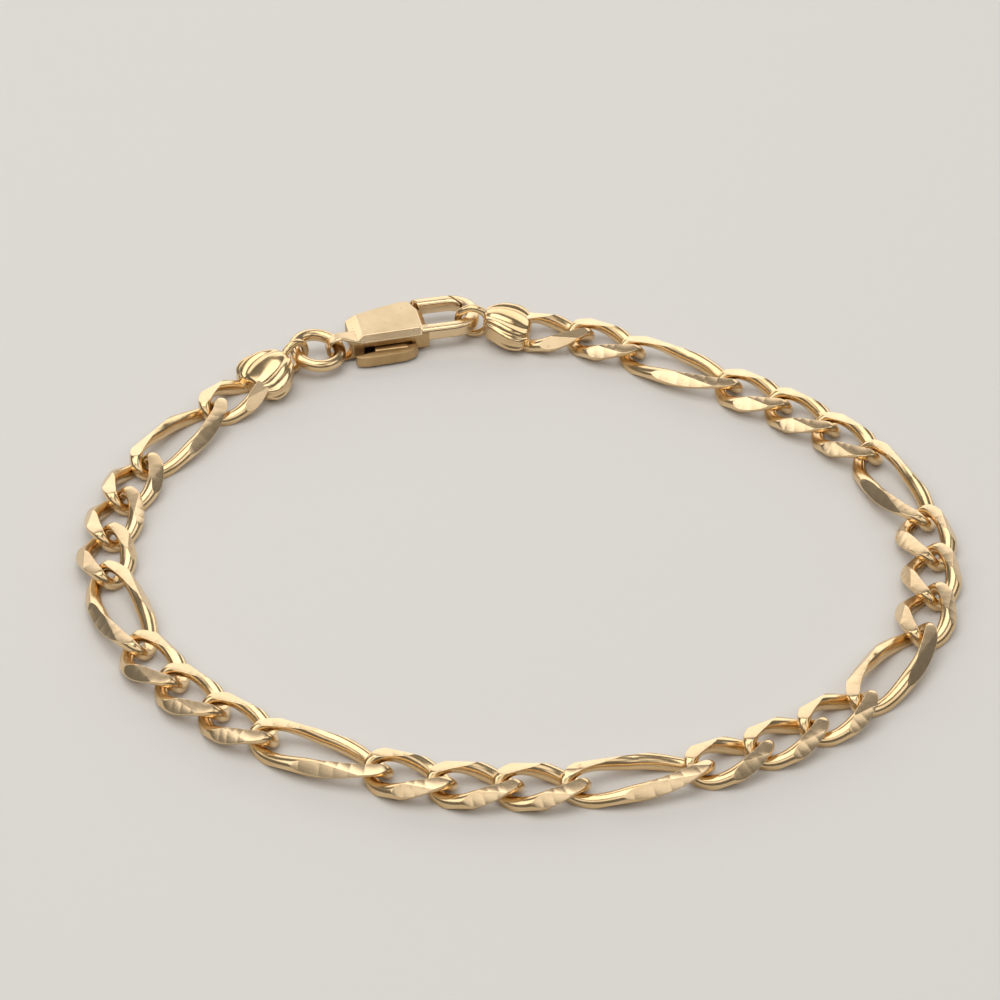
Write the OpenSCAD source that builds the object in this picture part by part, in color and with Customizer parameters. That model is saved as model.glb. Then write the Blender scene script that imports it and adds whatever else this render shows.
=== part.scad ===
// Link bracelet: long and short oval links in a repeating pattern, closed by a lobster clasp

/* [Chain] */
// Length that one short link adds to the chain
short_pitch = 4.8; // [4.5:0.1:5.4]
// Length that one long link adds to the chain
long_pitch = 9.17; // [8.2:0.01:10.2]
// Width across a link before its sides are cut
link_w = 4.7; // [4.6:0.05:5]
// Thickness of the wire along the two strands of a link
strand_d = 1.3; // [1.2:0.02:1.32]
// Thickness of the wire where one link bends round the next
bend_d = 0.8; // [0.74:0.02:0.84]
// Free play between the bends of two links
link_play = 0.46; // [0.44:0.02:0.6]
// Twist of each end of a link out of flat, in degrees
twist = 47; // [45:1:50]
// Height of the chain, from the flat face under it to the ridge along the middle of its top
chain_t = 1.85; // [1.75:0.05:2]
// Width of the two faces cut along the top of the chain
face_w = 3.24; // [3:0.05:3.5]
// Slope of these two faces down to the sides, in degrees from flat
crown_angle = 6; // [3:1:8]
// How much wider the face under the chain is than the two on top
under_extra = 0.3; // [0:0.05:0.5]
// Slope of the faces cut along the sides, in degrees from flat
bevel_angle = 49; // [42:1:56]

/* [Chain ends] */
// Length from the last joint of the chain to the catch of its eye
end_reach = 9.7; // [9.4:0.1:10.4]
// Length from the last joint of the chain to the start of the fan-shaped end piece
fan_start = 4.15; // [3.8:0.05:4.5]
// Greatest width of the fan-shaped end piece
end_w = 5.3; // [4.6:0.1:5.5]
// Height of the end piece beside its eye
end_h = 2.7; // [2.4:0.05:2.85]
// Depth of the grooves along the end piece
groove_depth = 0.18; // [0.08:0.02:0.24]
// Width of the hole in the eye
eye_hole = 1.9; // [1.86:0.02:2.1]
// Thickness of the eye's wire
eye_wire = 0.62; // [0.5:0.02:0.7]

/* [Jump ring] */
// Outer width of the ring
ring_d = 4.8; // [4.6:0.1:5.4]
// Thickness of the ring's wire
ring_wire = 1; // [0.9:0.02:1.04]
// How far the ring leans, in degrees
ring_lean = 10; // [0:1:11]

/* [Clasp] */
// Length from the catch of the hook to the catch of the base eye
clasp_reach = 11.3; // [10.9:0.1:12.2]
// Width of the clasp across the hook
clasp_w = 4.9; // [4.7:0.1:5.2]
// How far the base eye sits to the thumb tab's side of the hook's middle
base_drop = 2; // [1.8:0.1:2.2]
// Width of the body's neck at the base eye
base_w = 1.3; // [1.2:0.05:1.5]
// Height of the clasp's body
clasp_t = 2.2; // [2.1:0.05:2.5]
// Width of the bevel round the top and under edges of the body
clasp_bevel = 0.5; // [0.3:0.05:0.55]
// Length of the slope from the top of the body down to its base
shoulder = 1; // [0.6:0.1:1.3]
// Length of the opening from the hook to the body
mouth_l = 3.6; // [3.3:0.1:4]
// Width of the hook's bar
hook_w = 1.1; // [1:0.05:1.15]
// Height of the hook's bar
hook_h = 1.2; // [1.1:0.05:1.25]
// How far round the hook the chain's eye sits, in degrees
hook_seat = 42; // [30:1:50]
// Width of the hole in the base eye
base_hole = 1.56; // [1.5:0.02:1.64]
// Thickness of the metal round the base eye's hole
base_wire = 0.4; // [0.36:0.02:0.48]
// Width of the base eye, along its hole
base_eye_w = 1.1; // [0.9:0.1:1.2]

/* [Lever] */
// Place of the joint between the hook's tip and the lever's arm, from the hook's middle towards its bend
tip_back = 0.5; // [0.3:0.05:0.7]
// Gap between the hook's tip and the lever's arm
tip_gap = 0.1; // [0.08:0.01:0.14]
// Length from the mouth's end of the body to the pin
pivot_in = 3.3; // [3.1:0.1:3.5]
// Thickness of the lever's plate inside the body
plate_t = 0.6; // [0.55:0.05:0.7]
// How far the middle of the plate lies under the middle of the body
plate_drop = 0.25; // [0.2:0.05:0.3]
// Length of the thumb tab along the body's side
tab_l = 5.3; // [4.8:0.1:5.5]
// How far the thumb tab stands out of the body's side
tab_out = 1.3; // [1.1:0.05:1.45]
// Height of the thumb tab
tab_t = 0.9; // [0.7:0.05:1]
// Height of the thumb tab's under side above the surface
tab_low = 0.2; // [0.1:0.05:0.3]
// Thickness of the pin that the lever turns on
pin_d = 0.8; // [0.7:0.05:0.9]
// Clearance round the pin
pin_play = 0.03; // [0.02:0.01:0.05]
// Clearance above, below and beside the lever
lever_play = 0.1; // [0.08:0.01:0.14]

/* [Hidden] */
// The route: each piece round the loop from the left end of the chain, with its heading as laid, in degrees
pieces = [
    ["long", -123], ["short", -108], ["short", -98], ["short", -87],
    ["long", -70], ["short", -55], ["short", -45], ["short", -38],
    ["long", -23], ["short", -17], ["short", -4], ["short", 1],
    ["long", 12], ["short", 25], ["short", 31], ["short", 38],
    ["long", 57], ["short", 75], ["short", 85], ["short", 94],
    ["long", 112], ["short", 130], ["short", 139], ["short", 144],
    ["long", 148], ["short", 151], ["end", 173], ["clasp", 198], ["ring", 205], ["end", 226]
];
last_short = 25;
right_end = 26;
clasp_place = 27;
ring_place = 28;
left_end = 29;
outer_play = 0.2;
base_play = 0.16;
short_rounding = 2.25;
long_rounding = 3;
long_twist_run = 1.3;
rings = 20;
sides = 6;

// A six-sided wire with the round wire's area
wire_fill = sqrt(2 * PI / (sides * sin(360 / sides)));
// Distance between the middles of two wires that catch on each other
eye_on_hook = (hook_w + eye_wire) / 2 + outer_play;
ring_on_base = (ring_wire + base_wire) / 2 + base_play;
ring_reach = ring_d - ring_wire - ring_on_base;
eye_d = eye_hole + 2 * eye_wire;
base_d = base_hole + 2 * base_wire;
hook_z = eye_d / 2 - outer_play / 4;
hook_r = (clasp_w - hook_w) / 2;
// In the clasp's own frame the hook's middle is the origin, +X runs to the base and -Y to the thumb tab's side
seat = (hook_r - eye_on_hook / 2) * [-cos(hook_seat), -sin(hook_seat)];
base_run = [sqrt(pow(clasp_reach, 2) - pow(base_drop + seat[1], 2)), -base_drop - seat[1]];
base_catch = seat + base_run;
base_eye_x = base_catch[0] + ring_on_base / 2 - (base_hole + base_wire) / 2;
body_x0 = mouth_l + hook_w / 2 - hook_r;
body_x1 = base_eye_x - base_hole / 2 - base_play;
body_l = body_x1 - body_x0;
near = -clasp_w / 2;
far = clasp_w / 2;
near_at_base = -base_drop - base_w / 2;
// The ring rises from the base eye to the chain's eye
ring_rise = asin((eye_d - base_d) / 2 / (ring_d - ring_wire));
ring_z = (eye_d + base_d) / 4;

function is_link(i) = pieces[i][0] == "long" || pieces[i][0] == "short";
function reach(i) =
    let (kind = pieces[i][0])
    kind == "long" ? long_pitch
    : kind == "short" ? short_pitch
    : kind == "end" ? end_reach
    : kind == "clasp" ? clasp_reach
    : ring_reach;
function total(list) = list * [for (x = list) 1];

// Turns every heading a little, so that the loop closes on itself
function closed(h, tries = 5) =
    tries == 0 ? h
    : let (
        l = [for (i = [0:len(h) - 1]) reach(i)],
        miss_x = total([for (i = [0:len(h) - 1]) l[i] * cos(h[i])]),
        miss_y = total([for (i = [0:len(h) - 1]) l[i] * sin(h[i])]),
        ss = total([for (i = [0:len(h) - 1]) l[i] * sin(h[i]) * sin(h[i])]),
        sc = total([for (i = [0:len(h) - 1]) l[i] * sin(h[i]) * cos(h[i])]),
        cc = total([for (i = [0:len(h) - 1]) l[i] * cos(h[i]) * cos(h[i])]),
        det = ss * cc - sc * sc,
        a = -(cc * miss_x + sc * miss_y) / det,
        b = -(sc * miss_x + ss * miss_y) / det,
        turned = [for (x = h) x + (b * cos(x) - a * sin(x)) * 180 / PI]
    ) closed(turned, tries - 1);
heading = closed([for (p = pieces) p[1]]);

function along(i) = [cos(heading[i]), sin(heading[i])];
function across(i) = [-sin(heading[i]), cos(heading[i])];
walked = [for (i = 0, p = [0, 0]; i < len(pieces); p = p + reach(i) * along(i), i = i + 1) p];
clasp_turn = heading[clasp_place] + atan2(base_run[1], base_run[0]);
hook_middle = walked[clasp_place] - seat[0] * [cos(clasp_turn), sin(clasp_turn)]
    + seat[1] * [-sin(clasp_turn), cos(clasp_turn)];
// The outer points of the chain and of the hook, to find the middle of the whole bracelet
outer = concat(
    [for (i = [0:right_end], x = [0, reach(i)], y = [-link_w / 2, link_w / 2])
        walked[i] + x * along(i) + y * across(i)],
    [for (y = [-clasp_w / 2, clasp_w / 2]) hook_middle + [0, y]]
);
middle = [
    for (k = [0, 1]) (min([for (c = outer) c[k]]) + max([for (c = outer) c[k]])) / 2
];
joint = [for (p = walked) p - middle];

// Each link's number among the links of its own kind
function number(i) = len([for (k = [0:i]) if (pieces[k][0] == pieces[i][0]) k]);
link_names = [
    for (i = [0:last_short])
        str(pieces[i][0], pieces[i][0] == "short" && number(i) < 10 ? "_0" : "_", number(i))
];

// Half the length of a link, to the middle of its bent wire
function half_l(pitch) = (pitch + bend_d + link_play) / 2;
// A point on the middle of a link's wire, and the twist of the link there
function wire_x(t, pitch, n) = half_l(pitch) * sign(cos(t)) * pow(abs(cos(t)), 2 / n);
function wire_twist(x, pitch, run) = -twist * sign(x) * pow(abs(x) / half_l(pitch), run);
function wire_at(t, pitch, n, run) =
    let (x = wire_x(t, pitch, n), a = wire_twist(x, pitch, run), y = (link_w - strand_d) / 2 * sin(t))
    [x, y * cos(a), y * sin(a)];
function unit(v) = v / norm(v);
function wire_r(x, pitch) =
    let (k = abs(x) / half_l(pitch))
    (strand_d - (strand_d - bend_d) * k * k) / 2 * wire_fill;
function wire_ring(t, pitch, n, run) =
    let (
        x = wire_x(t, pitch, n),
        a = wire_twist(x, pitch, run),
        way = unit(wire_at(t + 0.1, pitch, n, run) - wire_at(t - 0.1, pitch, n, run)),
        flat_up = [0, -sin(a), cos(a)],
        up = unit(flat_up - (flat_up * way) * way),
        out = cross(way, up)
    )
    [for (j = [0:sides - 1]) wire_at(t, pitch, n, run)
        + wire_r(x, pitch) * (cos(j * 360 / sides) * up + sin(j * 360 / sides) * out)];

// A closed tube of rings, with two triangles to each of its quads
module looped(points, count, around) {
    faces = [
        for (i = [0:count - 1], j = [0:around - 1])
            let (
                a = i * around + j,
                b = ((i + 1) % count) * around + j,
                c = ((i + 1) % count) * around + (j + 1) % around,
                d = i * around + (j + 1) % around
            )
            each [[a, b, c], [a, c, d]]
    ];
    polyhedron(points, faces);
}

module cut_shape() {
    top = face_w / 2;
    under = top + under_extra / 2;
    edge_z = chain_t - top * tan(crown_angle);
    slope = tan(bevel_angle);
    side_z = (edge_z - (under - top) * slope) / 2;
    side_y = under + side_z / slope;
    polygon([
        [-under, 0], [under, 0], [side_y, side_z], [top, edge_z], [0, chain_t], [-top, edge_z], [-side_y, side_z]
    ]);
}

// A twisted link with its faces cut, its middle at the origin
module cut_link(pitch, n, run) {
    intersection() {
        translate([0, 0, chain_t / 2])
            looped([for (i = [0:rings - 1]) each wire_ring(i * 360 / rings, pitch, n, run)], rings, sides);
        rotate([90, 0, 90])
            linear_extrude(2 * pitch, center = true)
                cut_shape();
    }
}

module at_piece(i) {
    translate(joint[i])
        rotate(heading[i])
            children();
}

module link(i) {
    long = pieces[i][0] == "long";
    color("goldenrod")
        at_piece(i)
            translate([reach(i) / 2, 0, 0])
                cut_link(reach(i), long ? long_rounding : short_rounding, long ? long_twist_run : 1);
}

// Sections of the fan-shaped end piece: place, half width, bottom and top as shares of its length, width and height
taper = [
    [0, 0.66, 0.1, 0.6],
    [0.15, 0.93, 0.02, 0.74],
    [0.31, 1, 0, 0.86],
    [0.47, 0.96, 0, 0.94],
    [0.65, 0.82, 0.04, 1],
    [0.83, 0.62, 0.1, 1],
    [1, 0.4, 0.18, 0.94]
];
taper_sides = 20;
taper_grooves = 5;

function taper_ring(row, x0, length) =
    let (
        half = end_w / 2 * row[1],
        low = end_h * row[2],
        high = end_h * row[3],
        dent = groove_depth * row[1]
    )
    [for (j = [0:taper_sides - 1])
        let (
            a = j * 360 / taper_sides,
            groove = dent * (1 - cos(taper_grooves * 2 * (a - 90))) / 2,
            y = sign(cos(a)) * pow(abs(cos(a)), 0.7) * (half - groove),
            z = sign(sin(a)) * pow(abs(sin(a)), 0.7) * ((high - low) / 2 - groove)
        )
        [x0 + row[0] * length, y, (high + low) / 2 + z]];

module tapered(x0, length) {
    rows = len(taper);
    points = [for (row = taper) each taper_ring(row, x0, length)];
    walls = [
        for (i = [0:rows - 2], j = [0:taper_sides - 1])
            let (
                a = i * taper_sides + j,
                b = (i + 1) * taper_sides + j,
                c = (i + 1) * taper_sides + (j + 1) % taper_sides,
                d = i * taper_sides + (j + 1) % taper_sides
            )
            each [[a, b, c], [a, c, d]]
    ];
    front = [for (j = [0:taper_sides - 1]) j];
    back = [for (j = [0:taper_sides - 1]) rows * taper_sides - 1 - j];
    polyhedron(points, concat(walls, [front, back]));
}

module eye(hole, wire) {
    rotate([90, 0, 0])
        rotate_extrude()
            translate([(hole + wire) / 2, 0])
                circle(d = wire, $fn = 24);
}

// The end of the chain, from its joint towards the clasp: end link, taper and eye, soldered together
module chain_end() {
    eye_x = end_reach + eye_on_hook / 2 - (eye_hole + eye_wire) / 2;
    color("gold") {
        translate([short_pitch / 2, 0, 0])
            cut_link(short_pitch, short_rounding, 1);
        tapered(fan_start, eye_x - eye_hole / 2 - fan_start);
        translate([eye_x, 0, eye_d / 2])
            eye(eye_hole, eye_wire);
    }
}

module terminal_right() {
    at_piece(right_end)
        chain_end();
}

module terminal_left() {
    translate(joint[0])
        rotate(heading[left_end] + 180)
            chain_end();
}

module jump_ring() {
    color("khaki")
        at_piece(ring_place)
            translate([ring_reach / 2, 0, ring_z])
                rotate([-ring_lean, -ring_rise, 0])
                    rotate_extrude()
                        translate([(ring_d - ring_wire) / 2, 0])
                            circle(d = ring_wire, $fn = 24);
}

module at_clasp() {
    translate(joint[clasp_place])
        rotate(clasp_turn)
            mirror([0, 1, 0])
                translate(-seat)
                    children();
}

module bar_shape(w, h) {
    chamfer = min(w, h) * 0.27;
    polygon([
        [-w / 2, chamfer - h / 2], [chamfer - w / 2, -h / 2], [w / 2 - chamfer, -h / 2], [w / 2, chamfer - h / 2],
        [w / 2, h / 2 - chamfer], [w / 2 - chamfer, h / 2], [chamfer - w / 2, h / 2], [-w / 2, h / 2 - chamfer]
    ]);
}

// A straight bar from one x to another
module bar(x0, x1, y, z, w, h) {
    translate([x0, y, z])
        rotate([90, 0, 90])
            linear_extrude(x1 - x0)
                bar_shape(w, h);
}

pivot = [body_x0 + pivot_in, clasp_w * 0.04];
slot_t = plate_t + 2 * lever_play;
slot_z = clasp_t / 2 - plate_drop;
tip_slant = 33;

// Place of the body's near side
function wall_y(x) = near + (x - body_x0) / body_l * (near_at_base - near);

// The body's far side, from its mouth to its base: shares of its length and of half its width
far_side = [[0, 0.3], [0.09, 0.93], [0.14, 1], [0.3, 1], [0.5, 0.86], [0.72, 0.7], [0.92, 0.54], [1, 0.36]];

module body_outline(inset) {
    offset(delta = -inset)
        polygon(concat(
            [[body_x1, near_at_base], [body_x0, near]],
            [for (p = far_side) [body_x0 + p[0] * body_l, p[1] * far]]
        ));
}

// The body's top and under faces end before its base, where the shoulder slopes down
module body_block() {
    hull() {
        translate([0, 0, clasp_bevel])
            linear_extrude(clasp_t - 2 * clasp_bevel)
                body_outline(0);
        linear_extrude(clasp_t)
            intersection() {
                body_outline(clasp_bevel);
                translate([body_x0, near])
                    square([body_l - shoulder, clasp_w]);
            }
    }
}

// A rounded lug at the body's base, with a hole that widens to both sides
module base_eye() {
    chamfer = base_eye_w / 8;
    flare = base_w * 0.35;
    difference() {
        hull() {
            translate([base_eye_x, -base_drop, base_d / 2])
                rotate([90, 0, 0])
                    rotate_extrude($fn = 32)
                        polygon([
                            [0, -base_eye_w / 2], [base_d / 2 - chamfer, -base_eye_w / 2],
                            [base_d / 2, chamfer - base_eye_w / 2], [base_d / 2, base_eye_w / 2 - chamfer],
                            [base_d / 2 - chamfer, base_eye_w / 2], [0, base_eye_w / 2]
                        ]);
            translate([body_x1 - shoulder, near_at_base, clasp_bevel])
                cube([shoulder - base_play, base_w * 1.5, clasp_t - 2 * clasp_bevel]);
        }
        translate([base_eye_x, -base_drop, base_d / 2])
            rotate([90, 0, 0])
                rotate_extrude()
                    polygon([
                        [0, -base_w], [base_hole / 2 + flare, -base_w], [base_hole / 2, 0],
                        [base_hole / 2 + flare, base_w], [0, base_w]
                    ]);
    }
}

// The lever's outlines hold shares of the pin's distance from the mouth and of half the clasp's width
function from_pivot(rows) = [for (p = rows) pivot + [p[0] * pivot_in, p[1] * far]];

// Open towards the mouth, the lever's arm and the thumb tab
module lever_slot() {
    translate([0, 0, slot_z - slot_t / 2])
        linear_extrude(slot_t)
            polygon(from_pivot([
                [-1.3, -0.45], [-1.3, 1.25], [-0.45, 1.25], [-0.28, 0.68], [0.3, 0.48], [0.66, -0.35], [0.66, -2],
                [-0.55, -2], [-0.55, -0.45]
            ]));
}

module pin_hole() {
    translate([pivot[0], pivot[1], -clasp_t / 2])
        cylinder(d = pin_d + 2 * pin_play, h = 2 * clasp_t, $fn = 32);
}

// A block that begins on the slanted joint between the hook's tip and the lever's arm
module past_tip(side) {
    length = 4 * hook_w;
    translate([-tip_back, hook_r, hook_z])
        rotate(-tip_slant)
            translate([side * (length - tip_gap) / 2, 0, 0])
                cube([length, 2.6 * hook_w, 3 * hook_h], center = true);
}

module hook_bend(from, turn) {
    translate([0, 0, hook_z])
        rotate_extrude(angle = turn, start = from)
            translate([hook_r, 0])
                bar_shape(hook_w, hook_h);
}

module clasp_body() {
    color("darkgoldenrod")
        at_clasp() {
            difference() {
                union() {
                    body_block();
                    bar(0, body_x0 + hook_w / 2, -hook_r, hook_z, hook_w, hook_h);
                }
                lever_slot();
                pin_hole();
            }
            difference() {
                hook_bend(90, 180);
                past_tip(1);
            }
            base_eye();
        }
}

module lever_plate() {
    translate([0, 0, slot_z - plate_t / 2])
        linear_extrude(plate_t)
            polygon(from_pivot([
                [-1.06, 0.5], [-1.06, 0.86], [-0.7, 0.84], [-0.3, 0.57], [0.24, 0.33], [0.33, 0],
                [0.42, -1.3], [-0.42, -1.3], [-0.39, -0.5], [-0.7, 0.24]
            ]));
}

// The thumb tab's outline: shares of its length from its middle, and of how far it stands out of the body's side
tab_rows = [
    [-0.5, 0.12], [-0.5, 0.42], [-0.43, 0.74], [-0.3, 0.94], [-0.05, 1], [0.3, 1], [0.43, 0.9], [0.49, 0.72],
    [0.5, 0.6], [0.17, 0.35], [-0.18, 0.12]
];

module thumb_tab() {
    middle_x = pivot[0] + tab_l * 0.08;
    translate([0, 0, tab_low])
        linear_extrude(tab_t)
            polygon([for (p = tab_rows) let (x = middle_x + p[0] * tab_l) [x, wall_y(x) - p[1] * tab_out]]);
}

// The arm closes the mouth, and ends along the body's side
module lever_arm() {
    difference() {
        union() {
            hook_bend(90, 50);
            bar(0, body_x0 + pivot_in / 3, hook_r, hook_z, hook_w, hook_h);
        }
        past_tip(-1);
        linear_extrude(3 * clasp_t)
            body_outline(-lever_play);
    }
}

module clasp_lever() {
    color("peru")
        at_clasp()
            difference() {
                union() {
                    lever_arm();
                    lever_plate();
                    thumb_tab();
                }
                pin_hole();
            }
}

module clasp_pin() {
    color("gold")
        at_clasp()
            translate([pivot[0], pivot[1], 0])
                cylinder(d = pin_d, h = clasp_t, $fn = 32);
}

for (i = [0:last_short]) link(i);
terminal_left();
terminal_right();
jump_ring();
clasp_body();
clasp_lever();
clasp_pin();
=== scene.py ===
import math
import random

import bmesh
import bpy
import numpy as np
from mathutils import Matrix, Vector

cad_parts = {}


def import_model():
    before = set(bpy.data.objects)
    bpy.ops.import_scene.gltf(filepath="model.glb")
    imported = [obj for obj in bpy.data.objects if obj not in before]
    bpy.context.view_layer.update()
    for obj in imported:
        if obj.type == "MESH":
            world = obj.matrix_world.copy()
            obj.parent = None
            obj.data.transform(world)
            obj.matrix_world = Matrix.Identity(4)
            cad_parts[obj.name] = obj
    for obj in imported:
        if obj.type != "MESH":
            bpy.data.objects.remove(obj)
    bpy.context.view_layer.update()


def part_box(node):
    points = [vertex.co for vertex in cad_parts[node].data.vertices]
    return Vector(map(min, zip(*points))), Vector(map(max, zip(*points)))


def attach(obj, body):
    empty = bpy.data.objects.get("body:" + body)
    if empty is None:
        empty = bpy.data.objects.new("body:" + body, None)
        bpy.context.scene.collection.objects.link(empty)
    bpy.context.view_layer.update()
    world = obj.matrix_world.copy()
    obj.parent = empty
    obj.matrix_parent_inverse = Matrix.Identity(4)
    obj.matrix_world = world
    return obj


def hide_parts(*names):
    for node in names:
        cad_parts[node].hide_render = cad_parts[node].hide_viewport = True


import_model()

# Looks of a gold figaro bracelet. All sizes below are in millimetres until a mesh is made.
MM = 0.001
draw = random.Random(7)

# Chain, with the construction's own sizes but thicker bends, and with more play for them
SHORT_PITCH = 4.8
LONG_PITCH = 9.17
LINK_W = 4.7
STRAND_D = 1.3
BEND_D = 0.94
LINK_PLAY = 0.5
TWIST = math.radians(47)
CHAIN_T = 1.85
FACE_W = 3.24
CROWN = math.radians(6)
UNDER_EXTRA = 0.3
BEVEL = math.radians(49)
EDGE_R = 0.05
CUT_SWAY = math.radians(1.6)

# Skin of each kind of link: how square its loop is, how late its twist comes, and its rings of points
SHORT = dict(pitch=SHORT_PITCH, rounding=2.25, run=1.0, rings=112)
LONG = dict(pitch=LONG_PITCH, rounding=3.0, run=1.3, rings=184)
WIRE_SIDES = 48

# Chain ends
END_REACH = 9.7
FAN_START = 4.15
END_W = 5.3
END_H = 2.7
GROOVE = 0.18
EYE_HOLE = 1.9
EYE_WIRE = 0.62

# Jump ring
RING_D = 4.8
RING_WIRE = 1.0
RING_LEAN = math.radians(10)

# Clasp
CLASP_REACH = 11.3
CLASP_W = 4.9
BASE_DROP = 2.0
BASE_W = 1.3
CLASP_T = 2.2
CLASP_BEVEL = 0.5
SHOULDER = 1.0
MOUTH_L = 3.6
HOOK_W = 1.1
HOOK_H = 1.2
HOOK_SEAT = math.radians(42)
BASE_HOLE = 1.56
BASE_WIRE = 0.4
BASE_EYE_W = 1.1
TIP_BACK = 0.5
TIP_GAP = 0.1
TIP_SLANT = math.radians(33)
PIVOT_IN = 3.3
PLATE_T = 0.6
PLATE_DROP = 0.25
TAB_L = 5.3
TAB_OUT = 1.3
TAB_T = 0.9
TAB_LOW = 0.2
PIN_D = 0.8
PIN_PLAY = 0.03
PIN_COVER = 0.3
LEVER_PLAY = 0.1
OUTER_PLAY = 0.2
BASE_PLAY = 0.16
# Height at which the cutters begin, well under the clasp
CUTTER_LOW = -1

EYE_ON_HOOK = (HOOK_W + EYE_WIRE) / 2 + OUTER_PLAY
RING_ON_BASE = (RING_WIRE + BASE_WIRE) / 2 + BASE_PLAY
RING_REACH = RING_D - RING_WIRE - RING_ON_BASE
EYE_D = EYE_HOLE + 2 * EYE_WIRE
BASE_D = BASE_HOLE + 2 * BASE_WIRE
RING_RISE = math.asin((EYE_D - BASE_D) / 2 / (RING_D - RING_WIRE))
HOOK_Z = EYE_D / 2 - OUTER_PLAY / 4
HOOK_R = (CLASP_W - HOOK_W) / 2
SEAT = (HOOK_R - EYE_ON_HOOK / 2) * np.array([-math.cos(HOOK_SEAT), -math.sin(HOOK_SEAT)])
BASE_RUN = np.array([math.sqrt(CLASP_REACH ** 2 - (BASE_DROP + SEAT[1]) ** 2), -BASE_DROP - SEAT[1]])
BASE_EYE_X = (SEAT + BASE_RUN)[0] + RING_ON_BASE / 2 - (BASE_HOLE + BASE_WIRE) / 2
BODY_X0 = MOUTH_L + HOOK_W / 2 - HOOK_R
BODY_X1 = BASE_EYE_X - BASE_HOLE / 2 - BASE_PLAY
BODY_L = BODY_X1 - BODY_X0
NEAR = -CLASP_W / 2
FAR = CLASP_W / 2
NEAR_AT_BASE = -BASE_DROP - BASE_W / 2
PIVOT = np.array((BODY_X0 + PIVOT_IN, CLASP_W * 0.04))
SLOT_T = PLATE_T + 2 * LEVER_PLAY
SLOT_Z = CLASP_T / 2 - PLATE_DROP

# The chain's route: each piece round the loop, with its heading as laid, in degrees
ROUTE = [
    ("long", -123), ("short", -108), ("short", -98), ("short", -87),
    ("long", -70), ("short", -55), ("short", -45), ("short", -38),
    ("long", -23), ("short", -17), ("short", -4), ("short", 1),
    ("long", 12), ("short", 25), ("short", 31), ("short", 38),
    ("long", 57), ("short", 75), ("short", 85), ("short", 94),
    ("long", 112), ("short", 130), ("short", 139), ("short", 144),
    ("long", 148), ("short", 151), ("end", 173), ("clasp", 198), ("ring", 205), ("end", 226),
]
REACH = {"long": LONG_PITCH, "short": SHORT_PITCH, "end": END_REACH, "clasp": CLASP_REACH, "ring": RING_REACH}
# Places in the route of the pieces that close it
RIGHT_END, CLASP_PLACE, RING_PLACE, LEFT_END = range(len(ROUTE) - 4, len(ROUTE))


def closed(turns, lengths, rounds=5):
    """Turns every heading a little, round by round, so that the loop closes on itself."""
    for _ in range(rounds):
        c, s = np.cos(turns), np.sin(turns)
        miss_x, miss_y = lengths @ c, lengths @ s
        ss, sc, cc = lengths @ (s * s), lengths @ (s * c), lengths @ (c * c)
        det = ss * cc - sc * sc
        a = -(cc * miss_x + sc * miss_y) / det
        b = -(sc * miss_x + ss * miss_y) / det
        turns = turns + b * c - a * s
    return turns


lengths = np.array([REACH[kind] for kind, _ in ROUTE])
heading = closed(np.radians([float(turn) for _, turn in ROUTE]), lengths)
along = np.stack([np.cos(heading), np.sin(heading)], 1)
joint = np.vstack([[0, 0], np.cumsum(lengths[:, None] * along, 0)[:-1]])
low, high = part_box("long_1")
joint += np.array((low + high)[:2]) / 2 / MM - (joint[0] + along[0] * lengths[0] / 2)


# Meshes

def added(name, data):
    """A new object in the scene for a mesh, a light or a camera."""
    ob = bpy.data.objects.new(name, data)
    bpy.context.scene.collection.objects.link(ob)
    return ob


def mesh_object(name, points, faces, place=None):
    """A new object from points in millimetres, moved by place into the bracelet's frame."""
    me = bpy.data.meshes.new(name)
    me.from_pydata(np.asarray(points, float).tolist(), [], faces)
    me.transform(Matrix.Scale(MM, 4) @ (place or Matrix()))
    if place and place.determinant() < 0:
        me.flip_normals()
    return added(name, me)


def in_metres(place):
    """A place in millimetres, for an object whose mesh is already in metres."""
    moved = place.copy()
    moved.translation *= MM
    return moved


def laid(at, turn):
    """The place of a piece that begins at a joint and heads one way."""
    return Matrix.Translation((at[0], at[1], 0)) @ Matrix.Rotation(turn, 4, "Z")


def applied(ob):
    """Turns an object's modifiers into its mesh."""
    graph = bpy.context.evaluated_depsgraph_get()
    graph.update()
    done = bpy.data.meshes.new_from_object(ob.evaluated_get(graph))
    ob.modifiers.clear()
    old = ob.data
    ob.data = done
    bpy.data.meshes.remove(old)
    return ob


def boolean(ob, other, operation):
    """Joins other to ob, or cuts it away, and removes other."""
    mod = ob.modifiers.new("cut", "BOOLEAN")
    mod.operation = operation
    mod.solver = "EXACT"
    mod.object = other
    applied(ob)
    bpy.data.objects.remove(other)
    return ob


def joined(name, parts):
    """One object from several closed shells."""
    bm = bmesh.new()
    for part in parts:
        bm.from_mesh(part.data)
        bpy.data.objects.remove(part)
    me = bpy.data.meshes.new(name)
    bm.to_mesh(me)
    bm.free()
    return added(name, me)


def recalculated(ob):
    """Turns all faces of a closed skin outwards."""
    bm = bmesh.new()
    bm.from_mesh(ob.data)
    bmesh.ops.recalc_face_normals(bm, faces=bm.faces)
    bm.to_mesh(ob.data)
    bm.free()
    return ob


def fused(ob, voxel, rounds):
    """Melts overlapping shells into one closed skin with softly worn edges."""
    remesh = ob.modifiers.new("fuse", "REMESH")
    remesh.mode = "VOXEL"
    remesh.voxel_size = voxel * MM
    applied(ob)
    soften = ob.modifiers.new("soften", "SMOOTH")
    soften.factor = 0.5
    soften.iterations = rounds
    return applied(ob)


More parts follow.
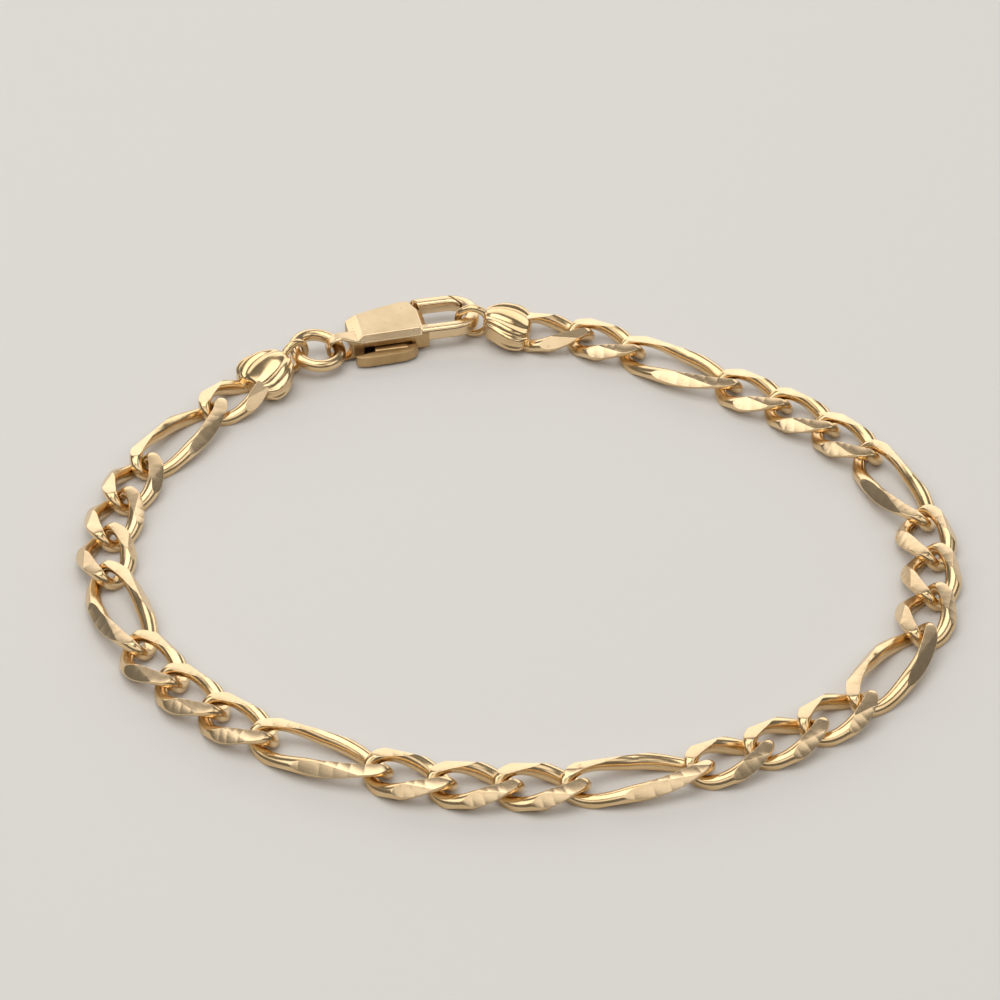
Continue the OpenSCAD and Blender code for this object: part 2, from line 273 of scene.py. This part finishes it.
def smooth(ob, cut=()):
    """Smooth shading, led by the larger faces at each point. Cut faces are flat once a boolean follows."""
    ob.data.polygons.foreach_set("use_smooth", [not mark for mark in cut] or [True] * len(ob.data.polygons))
    weigh = ob.modifiers.new("weigh", "WEIGHTED_NORMAL")
    weigh.weight = 60
    return applied(ob)


def loft(rings, closed_path=False):
    """Points and faces of a skin through rings of equal counts, with flat ends unless its path is closed."""
    count, around = len(rings), len(rings[0])
    faces = []
    for i in range(count if closed_path else count - 1):
        a, b = i * around, (i + 1) % count * around
        faces += [(a + j, b + j, b + (j + 1) % around, a + (j + 1) % around) for j in range(around)]
    if not closed_path:
        faces.append(tuple(range(around)))
        faces.append(tuple(reversed(range((count - 1) * around, count * around))))
    return np.concatenate(rings), faces


# Links: a twisted wire loop with its faces cut flat. Each face has one of three golds.
WIRE, CUT, BEVELLED = range(3)
PATH_POINTS = 4001
PATH_STEP = 0.001
# Two cuts nearer to parallel than this have no corner
PARALLEL = 0.05
# A cut squarer to the wire than this doesn't show on it
SQUARE_ON = 0.15
# How near to a cut, in millimetres, the faces on it lie
ON_CUT = 0.004


def wire_path(t, pitch, rounding, run):
    """Points on the middle of a link's wire, and the link's twist there."""
    a = (pitch + BEND_D + LINK_PLAY) / 2
    b = (LINK_W - STRAND_D) / 2
    x = a * np.sign(np.cos(t)) * np.abs(np.cos(t)) ** (2 / rounding)
    turn = -TWIST * np.sign(x) * (np.abs(x) / a) ** run
    y = b * np.sin(t)
    return np.stack([x, y * np.cos(turn), y * np.sin(turn) + CHAIN_T / 2], 1), turn, a


def cut_planes():
    """Normal, offset and gold of the seven faces cut on a link. The upper ones vary from link to link."""
    def tipped(normal, through, finish):
        """A cut through a point, tipped a little at random."""
        turn = Matrix.Rotation(draw.uniform(-CUT_SWAY, CUT_SWAY), 3, "X")
        turn = turn @ Matrix.Rotation(draw.uniform(-CUT_SWAY, CUT_SWAY), 3, "Y")
        n = np.array(turn @ Vector(normal))
        return n, float(n @ np.array(through)), finish

    s, c = math.sin(BEVEL), math.cos(BEVEL)
    edge_z = CHAIN_T - FACE_W / 2 * math.tan(CROWN)
    under = FACE_W / 2 + UNDER_EXTRA / 2
    planes = [tipped((0, side * math.sin(CROWN), math.cos(CROWN)), (0, 0, CHAIN_T), CUT) for side in (1, -1)]
    planes += [tipped((0, side * s, c), (0, side * FACE_W / 2, edge_z), BEVELLED) for side in (1, -1)]
    planes += [(np.array((0, side * s, -c)), under * s, BEVELLED) for side in (1, -1)]
    return planes + [(np.array((0, 0, -1.0)), 0.0, CUT)]


def section(radius, normals, offsets, ways):
    """A round section clipped by straight cuts, with its corners rounded: one point for each way outwards."""
    r = radius - EDGE_R
    g = offsets - EDGE_R
    half = np.sqrt(np.clip(r * r - g * g, 0, None))
    side = np.stack([-normals[:, 1], normals[:, 0]], 1)
    crossing = [normals * g[:, None] + side * half[:, None], normals * g[:, None] - side * half[:, None]]
    for i in range(len(g)):
        for k in range(i):
            det = normals[i, 0] * normals[k, 1] - normals[i, 1] * normals[k, 0]
            if abs(det) > PARALLEL:
                x = (g[i] * normals[k, 1] - g[k] * normals[i, 1]) / det
                y = (normals[i, 0] * g[k] - normals[k, 0] * g[i]) / det
                crossing.append(np.array([[x, y]]))
    corners = np.vstack(crossing)
    inside = (corners @ normals.T <= g + 1e-6).all(1) & (np.linalg.norm(corners, axis=1) <= r + 1e-6)
    corners = corners[inside]
    core = r * ways
    if len(corners):
        held = ((core @ normals.T) <= g + 1e-9).all(1)
        best = corners[np.argmax(ways @ corners.T, 1)]
        core = np.where(held[:, None], core, best)
    return core + EDGE_R * ways


def link_skin(pitch, rounding, run, rings):
    """Points and faces of a cut link, and each face's gold."""
    dense = np.linspace(0, 2 * math.pi, PATH_POINTS)
    path, _, _ = wire_path(dense, pitch, rounding, run)
    travelled = np.concatenate([[0], np.cumsum(np.linalg.norm(np.diff(path, axis=0), axis=1))])
    t = np.interp(np.arange(rings) / rings * travelled[-1], travelled, dense)
    middle, turn, a = wire_path(t, pitch, rounding, run)
    after, before = (wire_path(t + step, pitch, rounding, run)[0] for step in (PATH_STEP, -PATH_STEP))
    ahead = after - before
    ahead /= np.linalg.norm(ahead, axis=1)[:, None]
    up = np.stack([0 * turn, -np.sin(turn), np.cos(turn)], 1)
    up -= (up * ahead).sum(1)[:, None] * ahead
    up /= np.linalg.norm(up, axis=1)[:, None]
    out = np.cross(ahead, up)
    thin = (middle[:, 0] / a) ** 2
    radius = (STRAND_D - (STRAND_D - BEND_D) * thin) / 2
    angle = np.arange(WIRE_SIDES) * 2 * math.pi / WIRE_SIDES
    ways = np.stack([np.cos(angle), np.sin(angle)], 1)
    planes = cut_planes()
    skins = []
    for c, u, o, r in zip(middle, up, out, radius):
        flat = np.array([[n @ u, n @ o] for n, _, _ in planes])
        size = np.linalg.norm(flat, axis=1)
        clear = np.array([h - n @ c for n, h, _ in planes])
        seen = size > SQUARE_ON
        points = section(r, flat[seen] / size[seen, None], clear[seen] / size[seen], ways)
        skins.append(c + points[:, :1] * u + points[:, 1:] * o)
    points, faces = loft(skins, closed_path=True)
    middles = points[np.array(faces)].mean(1)
    golds = np.full(len(faces), WIRE)
    for n, h, finish in planes:
        golds[np.abs(middles @ n - h) < ON_CUT] = finish
    return points, faces, golds


def link_object(name, sizes, place):
    """A link with its own place, so that its golds run along it."""
    points, faces, golds = link_skin(**sizes)
    ob = mesh_object(name, points, faces)
    ob.matrix_world = in_metres(place)
    for mat in (wire_gold, cut_gold, bevel_gold):
        ob.data.materials.append(mat)
    ob.data.polygons.foreach_set("material_index", golds)
    return smooth(ob, cut=golds != WIRE)


# Chain ends: place, half width, bottom and top as shares of the fan's length, width and height
TAPER = np.array([
    [0, 0.66, 0.1, 0.6],
    [0.15, 0.93, 0.02, 0.74],
    [0.31, 1, 0, 0.86],
    [0.47, 0.96, 0, 0.94],
    [0.65, 0.82, 0.04, 1],
    [0.83, 0.62, 0.1, 1],
    [1, 0.4, 0.18, 0.94],
])
TAPER_SIDES = 120
TAPER_ROWS = 44
TAPER_EDGE = 0.3
TAPER_EDGE_ROWS = 7
TAPER_SQUARENESS = 0.7
TAPER_GROOVES = 10
GROOVE_NARROWNESS = 1.6


def eased(at, stops, values):
    """A smooth curve through a table's values."""
    slopes = np.gradient(values, stops)
    i = np.clip(np.searchsorted(stops, at) - 1, 0, len(stops) - 2)
    step = stops[i + 1] - stops[i]
    u = (at - stops[i]) / step
    return ((1 + 2 * u) * (1 - u) ** 2 * values[i] + u * (1 - u) ** 2 * step * slopes[i]
            + u * u * (3 - 2 * u) * values[i + 1] - u * u * (1 - u) * step * slopes[i + 1])


def squarish(value, power):
    """A sine or cosine bent so that it draws a rounded square in place of a circle."""
    return np.sign(value) * np.abs(value) ** power


def fan_skin(x0, length):
    """The ridged fan between the end link and the eye, with rounded ends."""
    ends = TAPER_EDGE * (1 - np.cos(np.linspace(0, math.pi / 2, TAPER_EDGE_ROWS)))
    between = np.linspace(TAPER_EDGE, length - TAPER_EDGE, TAPER_ROWS)[1:-1]
    rows = np.concatenate([ends, between, length - ends[::-1]])
    angle = np.arange(TAPER_SIDES) * 2 * math.pi / TAPER_SIDES
    rings = []
    for x in rows:
        share = x / length
        half, low_z, high_z = (eased(share, TAPER[:, 0], TAPER[:, k]) for k in (1, 2, 3))
        near_end = min(x, length - x)
        inset = TAPER_EDGE - math.sqrt(max(0, TAPER_EDGE ** 2 - max(0, TAPER_EDGE - near_end) ** 2))
        wave = (1 - np.cos(TAPER_GROOVES * (angle - math.pi / 2))) / 2
        dent = GROOVE * half * wave ** GROOVE_NARROWNESS
        y = squarish(np.cos(angle), TAPER_SQUARENESS) * (END_W / 2 * half - inset - dent)
        z = squarish(np.sin(angle), TAPER_SQUARENESS) * (END_H * (high_z - low_z) / 2 - inset - dent)
        rings.append(np.stack([0 * y + x0 + x, y, z + END_H * (high_z + low_z) / 2], 1))
    return loft(rings)


def torus_skin(hole, wire, around=72, sides=28):
    """A round ring round the Z axis, from the widths of its hole and of its wire."""
    a = np.arange(sides) * 2 * math.pi / sides
    reach, height = (hole + wire) / 2 + np.cos(a) * wire / 2, np.sin(a) * wire / 2
    turns = np.arange(around) * 2 * math.pi / around
    rings = [np.stack([reach * math.cos(t), reach * math.sin(t), height], 1) for t in turns]
    return loft(rings, closed_path=True)


def upright(at):
    """A ring's place when it stands on its rim, with its hole along Y."""
    return Matrix.Translation(at) @ Matrix.Rotation(math.pi / 2, 4, "X")


def chain_end(name, place):
    """End link, ridged fan and eye, soldered into one."""
    eye_x = END_REACH + EYE_ON_HOOK / 2 - (EYE_HOLE + EYE_WIRE) / 2
    link = link_object(name, SHORT, place @ Matrix.Translation((SHORT_PITCH / 2, 0, 0)))
    fan = mesh_object("fan", *fan_skin(FAN_START, eye_x - EYE_HOLE / 2 - FAN_START), place)
    eye = mesh_object("eye", *torus_skin(EYE_HOLE, EYE_WIRE), place @ upright((eye_x, 0, EYE_D / 2)))
    for part in (fan, eye):
        part.data.transform(link.matrix_world.inverted())
        part.matrix_world = link.matrix_world
        part.data.materials.append(cast_gold)
        part.data.polygons.foreach_set("use_smooth", [True] * len(part.data.polygons))
        recalculated(part)
    boolean(fan, eye, "UNION")
    boolean(link, fan, "UNION")
    return link


# Clasp, in its own frame: the hook's middle is the origin, +X runs to the base and -Y to the thumb tab's side

def inset_outline(corners, inset):
    """A convex outline moved inwards, corner by corner."""
    corners = np.array(corners, float)
    after, before = np.roll(corners, -1, 0), np.roll(corners, 1, 0)
    moved = []
    turning = np.sign(sum(a[0] * b[1] - a[1] * b[0] for a, b in zip(corners, after)))
    for p, q, o in zip(corners, after, before):
        d1, d2 = (p - o) / np.linalg.norm(p - o), (q - p) / np.linalg.norm(q - p)
        n1, n2 = turning * np.array([-d1[1], d1[0]]), turning * np.array([-d2[1], d2[0]])
        moved.append(p + (n1 + n2) * inset / (1 + n1 @ n2))
    return np.array(moved)


def prism(name, layers, place):
    """A solid through outlines at rising heights: (outline, z) pairs."""
    rings = [np.column_stack([outline, np.full(len(outline), z)]) for outline, z in layers]
    return recalculated(mesh_object(name, *loft(rings), place))


HOOK_SIDES = 28
HOOK_SQUARENESS = 0.62
HOOK_STEPS = 36
ARM_START = 0.4


def hook_bar(name, place, straight, side, start, end):
    """The hook's bar: a straight arm on one side, and its bend between two angles, in degrees."""
    a = np.arange(HOOK_SIDES) * 2 * math.pi / HOOK_SIDES
    w = squarish(np.cos(a), HOOK_SQUARENESS) * HOOK_W / 2
    h = squarish(np.sin(a), HOOK_SQUARENESS) * HOOK_H / 2
    rings = []
    bend = np.radians(np.linspace(start, end, HOOK_STEPS + 1))
    spots = [(HOOK_R * math.cos(t), HOOK_R * math.sin(t), math.cos(t), math.sin(t)) for t in bend]
    arm = [(x, side * HOOK_R, 0, side) for x in straight]
    spots = spots + arm if side < 0 else arm + spots
    for x, y, nx, ny in spots:
        rings.append(np.stack([x + w * nx, y + w * ny, HOOK_Z + h], 1))
    return recalculated(mesh_object(name, *loft(rings), place))


# The block that parts the hook's tip from the lever's arm
TIP_BLOCK_L = 4
TIP_BLOCK_IN = -1.4
TIP_BLOCK_OUT = 1.6
TIP_BLOCK_H = 2


def tip_cutter(side, place):
    """A block that begins on the slanted joint between the hook's tip and the lever's arm."""
    start = -TIP_GAP / 2 if side > 0 else TIP_GAP / 2 - TIP_BLOCK_L
    end = start + TIP_BLOCK_L
    corners = [(start, TIP_BLOCK_IN), (end, TIP_BLOCK_IN), (end, TIP_BLOCK_OUT), (start, TIP_BLOCK_OUT)]
    c, s = math.cos(-TIP_SLANT), math.sin(-TIP_SLANT)
    slanted = np.array([(-TIP_BACK + c * x - s * y, HOOK_R + s * x + c * y) for x, y in corners])
    return prism("tip_cutter", [(slanted, HOOK_Z - TIP_BLOCK_H), (slanted, HOOK_Z + TIP_BLOCK_H)], place)


# Faces of a hull that turn by less than this are one
STILL_FLAT = math.radians(0.5)


def hull(name, points, place):
    """The convex solid round some points."""
    bm = bmesh.new()
    for point in points:
        bm.verts.new(point)
    made = bmesh.ops.convex_hull(bm, input=bm.verts)
    bmesh.ops.delete(bm, geom=list(set(made["geom_interior"] + made["geom_unused"])), context="VERTS")
    bmesh.ops.dissolve_limit(bm, angle_limit=STILL_FLAT, verts=bm.verts, edges=bm.edges)
    bm.transform(Matrix.Scale(MM, 4) @ place)
    me = bpy.data.meshes.new(name)
    bm.to_mesh(me)
    bm.free()
    return recalculated(added(name, me))


def turned(name, profile, place, around=64):
    """A solid turned round the Z axis from (radius, height) pairs."""
    a = np.arange(around) * 2 * math.pi / around
    rings = [np.stack([r * np.cos(a), r * np.sin(a), 0 * a + z], 1) for r, z in profile]
    return recalculated(mesh_object(name, *loft(rings), place))


def on_pivot(place):
    """The place of a piece that is turned round the pin's own axis."""
    return place @ Matrix.Translation((*PIVOT, 0))


def pin_cutter(place):
    """The pin's hole, which stays closed under the body's top."""
    r = PIN_D / 2 + PIN_PLAY
    return turned("pin_cutter", [(r, CUTTER_LOW), (r, CLASP_T - PIN_COVER + PIN_PLAY)], on_pivot(place))


# The body's far side, from its mouth to its base: shares of its length and of half its width
FAR_SIDE = [(0, 0.3), (0.09, 0.93), (0.14, 1), (0.3, 1), (0.5, 0.86), (0.72, 0.7), (0.92, 0.54), (1, 0.36)]


def body_outline(inset):
    """The body seen from above, moved inwards by the inset."""
    corners = [(BODY_X1, NEAR_AT_BASE), (BODY_X0, NEAR)]
    corners += [(BODY_X0 + run * BODY_L, width * FAR) for run, width in FAR_SIDE]
    return inset_outline(corners, inset)


def wall_y(x):
    """Place of the body's near side."""
    return NEAR + (x - BODY_X0) / BODY_L * (NEAR_AT_BASE - NEAR)


def from_pivot(rows):
    """Shares of the pin's distance from the mouth and of half the clasp's width, as places."""
    return PIVOT + np.array(rows) * (PIVOT_IN, FAR)


LUG_SIDES = 48


def base_lug(place):
    """A rounded lug at the body's base, with a hole that widens to both sides."""
    chamfer, flare, root = BASE_EYE_W / 8, BASE_W * 0.35, BASE_W * 1.5
    spot = upright((BASE_EYE_X, -BASE_DROP, BASE_D / 2))
    points = []
    for a in np.arange(LUG_SIDES) * 2 * math.pi / LUG_SIDES:
        for r, z in ((BASE_D / 2 - chamfer, BASE_EYE_W / 2), (BASE_D / 2, BASE_EYE_W / 2 - chamfer)):
            points += [spot @ Vector((r * math.cos(a), r * math.sin(a), side * z)) for side in (1, -1)]
    for x in (BODY_X1 - SHOULDER, BODY_X1 - BASE_PLAY):
        for y in (NEAR_AT_BASE, NEAR_AT_BASE + root):
            points += [Vector((x, y, z)) for z in (CLASP_BEVEL, CLASP_T - CLASP_BEVEL)]
    lug = hull("lug", points, place)
    wide = BASE_HOLE / 2 + flare
    hole = [(wide, -BASE_W), (BASE_HOLE / 2, 0), (wide, BASE_W)]
    return boolean(lug, turned("hole", hole, place @ spot), "DIFFERENCE")


def clasp_body(place):
    """The bevelled body with its hook and its eye, slotted for the lever's plate."""
    outline, small = body_outline(0), body_outline(CLASP_BEVEL)
    top_end = BODY_X1 - SHOULDER
    points = [(x, y, z) for x, y in outline for z in (CLASP_BEVEL, CLASP_T - CLASP_BEVEL)]
    cut = [(x, y) for x, y in small if x <= top_end]
    for (x0, y0), (x1, y1) in zip(small, np.roll(small, -1, 0)):
        if (x0 - top_end) * (x1 - top_end) < 0:
            cut.append((top_end, y0 + (y1 - y0) * (top_end - x0) / (x1 - x0)))
    points += [(x, y, z) for x, y in cut for z in (0, CLASP_T)]
    block = hull("block", points, place)
    near_arm = hook_bar("near_arm", place, (ARM_START, BODY_X0 + HOOK_W / 2), side=-1, start=90, end=270)
    boolean(near_arm, tip_cutter(1, place), "DIFFERENCE")
    boolean(block, near_arm, "UNION")
    slot = from_pivot([
        (-1.3, -0.45), (-1.3, 1.25), (-0.45, 1.25), (-0.28, 0.68), (0.3, 0.48), (0.66, -0.35), (0.66, -2),
        (-0.55, -2), (-0.55, -0.45),
    ])
    slot = prism("slot", [(slot, SLOT_Z - SLOT_T / 2), (slot, SLOT_Z + SLOT_T / 2)], place)
    boolean(block, slot, "DIFFERENCE")
    boolean(block, pin_cutter(place), "DIFFERENCE")
    return smooth(fused(joined("clasp_body_metal", [block, base_lug(place)]), voxel=0.045, rounds=4))


def clasp_lever(place):
    """The lever: the arm that closes the hook, the plate on the pin and the thumb tab."""
    arm = hook_bar("arm", place, (BODY_X0 + PIVOT_IN / 3, ARM_START), side=1, start=90, end=140)
    boolean(arm, tip_cutter(-1, place), "DIFFERENCE")
    round_body = body_outline(-LEVER_PLAY)
    round_body = prism("round_body", [(round_body, CUTTER_LOW), (round_body, 3 * CLASP_T)], place)
    boolean(arm, round_body, "DIFFERENCE")
    plate = from_pivot([
        (-1.06, 0.5), (-1.06, 0.86), (-0.7, 0.84), (-0.3, 0.57), (0.24, 0.33), (0.33, 0), (0.42, -1.3),
        (-0.42, -1.3), (-0.39, -0.5), (-0.7, 0.24),
    ])
    plate = prism("plate", [(plate, SLOT_Z - PLATE_T / 2), (plate, SLOT_Z + PLATE_T / 2)], place)
    boolean(plate, pin_cutter(place), "DIFFERENCE")
    rows = [
        (-0.5, 0.12), (-0.5, 0.42), (-0.43, 0.74), (-0.3, 0.94), (-0.05, 1), (0.3, 1),
        (0.43, 0.9), (0.49, 0.72), (0.5, 0.6), (0.17, 0.35), (-0.18, 0.12),
    ]
    middle_x = PIVOT[0] + TAB_L * 0.08
    tab = [(middle_x + p * TAB_L, wall_y(middle_x + p * TAB_L) - q * TAB_OUT) for p, q in rows]
    tab = prism("tab", [(tab, TAB_LOW), (tab, TAB_LOW + TAB_T)], place)
    return smooth(fused(joined("clasp_lever_metal", [arm, plate, tab]), voxel=0.04, rounds=4))


# The clasp's golds, and how far upwards the faces of its flat top and of its bevels look. The satin top and
# the walls get darker golds of painted shade, chosen by the way each face looks
SATIN_SHADED, BRIGHT, PAINTED_SHADE = range(3)
TOP_LOOK = 0.93
BEVEL_LOOK = 0.3


def finished(ob, place, choose):
    """Gives each face of a clasp piece its own gold, by its middle and its way out in the clasp's frame, so
    that shade is painted by the way a face looks.
    """
    back = (Matrix.Scale(MM, 4) @ place).inverted()
    turn = place.to_3x3().inverted()
    ob.data.materials.clear()
    for mat in (satin_shaded_gold, bevel_gold, painted_shade_gold):
        ob.data.materials.append(mat)
    golds = [choose(back @ face.center, turn @ face.normal) for face in ob.data.polygons]
    ob.data.polygons.foreach_set("material_index", golds)
    return ob


def body_finish(at, out):
    """Satin gold darkened with painted shade on top, bright gold on the bevels and the hook, dark gold of
    painted shade on the walls.
    """
    if at.x < BODY_X0 or TOP_LOOK >= out.z > BEVEL_LOOK:
        return BRIGHT
    return SATIN_SHADED if out.z > TOP_LOOK else PAINTED_SHADE


def lever_finish(at, out):
    """Bright gold on the hook's side, dark gold of painted shade on the thumb tab's."""
    return BRIGHT if at.y > 0 else PAINTED_SHADE


# One end of the pin: shares of its radius, and heights from the end
PIN_END = [(0.3, 0), (0.96, 0.01), (1, 0.04)]


def clasp_pin(place):
    """The rivet. Its lower end is flush, its upper end is hidden under the body's top."""
    top = CLASP_T - PIN_COVER
    profile = [(PIN_D / 2 * share, height) for share, height in PIN_END]
    profile += [(r, top - height) for r, height in reversed(profile)]
    return smooth(turned("clasp_pin_metal", profile, on_pivot(place)))


# Materials, with depths in metres
PIT_COLOUR = (0.16, 0.10, 0.05)
DENT_DEPTH = 0.00004
SCRATCH_DEPTH = 0.000006


def gold(name, pale, deep, roughness, dent, scratch, pits=0.0):
    """Polished or cut gold: uneven colour, fine scratches along the piece, soft dents and a few dark pits."""
    mat = bpy.data.materials.new(name)
    mat.use_nodes = True
    nodes, wires = mat.node_tree.nodes, mat.node_tree.links
    shader = nodes["Principled BSDF"]
    shader.inputs["Metallic"].default_value = 1.0
    place = nodes.new("ShaderNodeTexCoord")

    def noise(scale, detail, rough, stretch=(1, 1, 1), turn=0.0):
        """Uneven values over the piece, drawn out along the axis with a low stretch."""
        spread = nodes.new("ShaderNodeMapping")
        spread.inputs["Scale"].default_value = stretch
        spread.inputs["Rotation"].default_value = (0, 0, turn)
        wires.new(place.outputs["Object"], spread.inputs["Vector"])
        tex = nodes.new("ShaderNodeTexNoise")
        tex.inputs["Scale"].default_value = scale
        tex.inputs["Detail"].default_value = detail
        tex.inputs["Roughness"].default_value = rough
        wires.new(spread.outputs["Vector"], tex.inputs["Vector"])
        return tex.outputs["Fac"]

    def mapped(value, low_in, high_in, low_out, high_out):
        """One span of values carried over to another."""
        span = nodes.new("ShaderNodeMapRange")
        span.inputs["From Min"].default_value = low_in
        span.inputs["From Max"].default_value = high_in
        span.inputs["To Min"].default_value = low_out
        span.inputs["To Max"].default_value = high_out
        wires.new(value, span.inputs["Value"])
        return span.outputs["Result"]

    def mixed(factor, a, b):
        """A colour between two, each a plain one or another node's."""
        tone = nodes.new("ShaderNodeMix")
        tone.data_type = "RGBA"
        for key, colour in (("A", a), ("B", b)):
            if isinstance(colour, tuple):
                tone.inputs[key].default_value = (*colour, 1)
            else:
                wires.new(colour, tone.inputs[key])
        wires.new(factor, tone.inputs["Factor"])
        return tone.outputs["Result"]

    def bumped(height, strength, distance, below=None):
        """Relief, laid over the relief below it."""
        step = nodes.new("ShaderNodeBump")
        step.inputs["Strength"].default_value = strength
        step.inputs["Distance"].default_value = distance
        wires.new(height, step.inputs["Height"])
        if below:
            wires.new(below, step.inputs["Normal"])
        return step.outputs["Normal"]

    tone = noise(scale=420, detail=5, rough=0.6)
    colour = mixed(mapped(tone, 0.35, 0.65, 0, 1), deep, pale)
    if pits:
        spots = mapped(noise(scale=1500, detail=2, rough=0.5), 0.70, 0.76, 0, pits)
        colour = mixed(spots, colour, PIT_COLOUR)
    wires.new(colour, shader.inputs["Base Color"])
    grain = noise(scale=4000, detail=4, rough=0.6, stretch=(0.2, 1, 1))
    wires.new(mapped(grain, 0.3, 0.7, roughness * 0.93, roughness * 1.08), shader.inputs["Roughness"])
    dents = noise(scale=700, detail=3, rough=0.5)
    scratches = noise(scale=9000, detail=3, rough=0.5, stretch=(0.03, 1, 1), turn=0.12)
    others = noise(scale=7000, detail=3, rough=0.5, stretch=(0.04, 1, 1), turn=-0.9)
    normal = bumped(dents, dent, DENT_DEPTH)
    normal = bumped(scratches, scratch, SCRATCH_DEPTH, normal)
    normal = bumped(others, scratch * 0.5, SCRATCH_DEPTH, normal)
    wires.new(normal, shader.inputs["Normal"])
    return mat


# Paler and deeper tone, roughness, and strength of the dents, the scratches and the pits
wire_gold = gold("wire_gold", (0.87, 0.66, 0.39), (0.78, 0.56, 0.30), 0.20, 0.25, 0.15)
cut_gold = gold("cut_gold", (0.86, 0.66, 0.42), (0.78, 0.58, 0.35), 0.22, 0.03, 0.16, pits=0.7)
bevel_gold = gold("bevel_gold", (0.88, 0.68, 0.43), (0.79, 0.59, 0.35), 0.24, 0.08, 0.16, pits=0.5)
cast_gold = gold("cast_gold", (0.86, 0.66, 0.40), (0.74, 0.53, 0.29), 0.28, 0.5, 0.2)
# Satin gold: its roughness and scratches are the real satin finish, and its darker tone is painted shade
satin_shaded_gold = gold("satin_shaded_gold", (0.76, 0.60, 0.38), (0.66, 0.50, 0.30), 0.34, 0.1, 0.3, pits=0.3)
# Dark gold of painted shade, for the clasp's walls and the thumb tab's side
painted_shade_gold = gold("painted_shade_gold", (0.62, 0.43, 0.22), (0.48, 0.32, 0.15), 0.36, 0.3, 0.3)


# The bracelet

def named_links():
    """Place in the route, kind and node of each link."""
    counts = {"long": 0, "short": 0}
    for i in range(RIGHT_END):
        kind = ROUTE[i][0]
        counts[kind] += 1
        number = counts[kind]
        yield i, kind, f"long_{number}" if kind == "long" else f"short_{number:02d}"


def dress(ob, node, body="root"):
    """Lets a piece stand for a node of the construction."""
    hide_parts(node)
    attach(ob, body)


for i, kind, node in named_links():
    sizes = LONG if kind == "long" else SHORT
    centre = joint[i] + along[i] * lengths[i] / 2
    dress(link_object(node + "_metal", sizes, laid(centre, heading[i])), node)

right = chain_end("terminal_right_metal", laid(joint[RIGHT_END], heading[RIGHT_END]))
dress(right, "terminal_right")
left = chain_end("terminal_left_metal", laid(joint[0], heading[LEFT_END] + math.pi))
dress(left, "terminal_left")

ring_place = (
    laid(joint[RING_PLACE], heading[RING_PLACE])
    @ Matrix.Translation((RING_REACH / 2, 0, (EYE_D + BASE_D) / 4))
    @ Matrix.Rotation(-RING_RISE, 4, "Y") @ Matrix.Rotation(-RING_LEAN, 4, "X")
)
ring = torus_skin(RING_D - 2 * RING_WIRE, RING_WIRE, around=120, sides=40)
ring = smooth(recalculated(mesh_object("jump_ring_metal", *ring, ring_place)))
ring.data.materials.append(wire_gold)
dress(ring, "jump_ring")

clasp_place = (
    laid(joint[CLASP_PLACE], heading[CLASP_PLACE] + math.atan2(BASE_RUN[1], BASE_RUN[0]))
    @ Matrix.Diagonal((1, -1, 1, 1)) @ Matrix.Translation((-SEAT[0], -SEAT[1], 0))
)
body = finished(clasp_body(clasp_place), clasp_place, body_finish)
dress(body, "clasp_body")
lever = finished(clasp_lever(clasp_place), clasp_place, lever_finish)
dress(lever, "clasp_lever", "lever")
pin = clasp_pin(clasp_place)
pin.data.materials.append(satin_shaded_gold)
dress(pin, "clasp_pin")


# Floor, lights and camera

# Places are in metres, the camera's tilt is in degrees, its lens and sensor are in millimetres
FLOOR_REACH = 1.5
FLOOR_COLOUR = (0.72, 0.71, 0.69)
FLOOR_ROUGHNESS = 0.65
LIGHT_COLOUR = (1, 0.97, 0.93)
WORLD_COLOUR = (0.15, 0.147, 0.143)
CAMERA_AT = (-0.001386, -0.245180, 0.190226)
CAMERA_DOWN = 37.1538
LENS = 144
SENSOR = 36


def floor():
    """A plain pale floor under the bracelet."""
    points = [(x * FLOOR_REACH, y * FLOOR_REACH, 0) for x, y in ((-1, -1), (1, -1), (1, 1), (-1, 1))]
    ob = mesh_object("floor", np.array(points) / MM, [(0, 1, 2, 3)])
    mat = bpy.data.materials.new("floor")
    mat.use_nodes = True
    shader = mat.node_tree.nodes["Principled BSDF"]
    shader.inputs["Base Color"].default_value = (*FLOOR_COLOUR, 1)
    shader.inputs["Roughness"].default_value = FLOOR_ROUGHNESS
    ob.data.materials.append(mat)


def area_light(name, at, size, glow):
    """A soft box of a width and a height that looks at the bracelet, with its brightness as seen."""
    data = bpy.data.lights.new(name, "AREA")
    data.shape = "RECTANGLE"
    data.size, data.size_y = size
    data.energy = glow * math.pi * size[0] * size[1]
    data.color = LIGHT_COLOUR
    ob = added(name, data)
    ob.location = at
    ob.rotation_euler = (Vector() - Vector(at)).to_track_quat("-Z", "Y").to_euler()


def world():
    """A dim even light from all around."""
    data = bpy.data.worlds.new("studio")
    data.use_nodes = True
    data.node_tree.nodes["Background"].inputs["Color"].default_value = (*WORLD_COLOUR, 1)
    bpy.context.scene.world = data


def camera():
    """The photograph's view: from the near side, looking down."""
    data = bpy.data.cameras.new("camera")
    data.sensor_width = SENSOR
    data.lens = LENS
    data.clip_start = 0.01
    ob = added("camera", data)
    ob.location = CAMERA_AT
    ob.rotation_euler = (math.radians(90 - CAMERA_DOWN), 0, 0)
    bpy.context.scene.camera = ob


floor()
area_light("overhead", at=(-0.05, 0.02, 0.45), size=(0.5, 0.42), glow=1.8)
area_light("back", at=(0, 0.6, 0.26), size=(1.5, 0.4), glow=1.4)
area_light("left", at=(-0.55, -0.12, 0.5), size=(0.5, 0.36), glow=1.5)
area_light("right", at=(0.55, -0.12, 0.5), size=(0.5, 0.36), glow=1.1)
area_light("front", at=(0, -0.5, 0.5), size=(0.9, 0.26), glow=1.0)
world()
camera()
bpy.context.scene.view_settings.view_transform = "Standard"
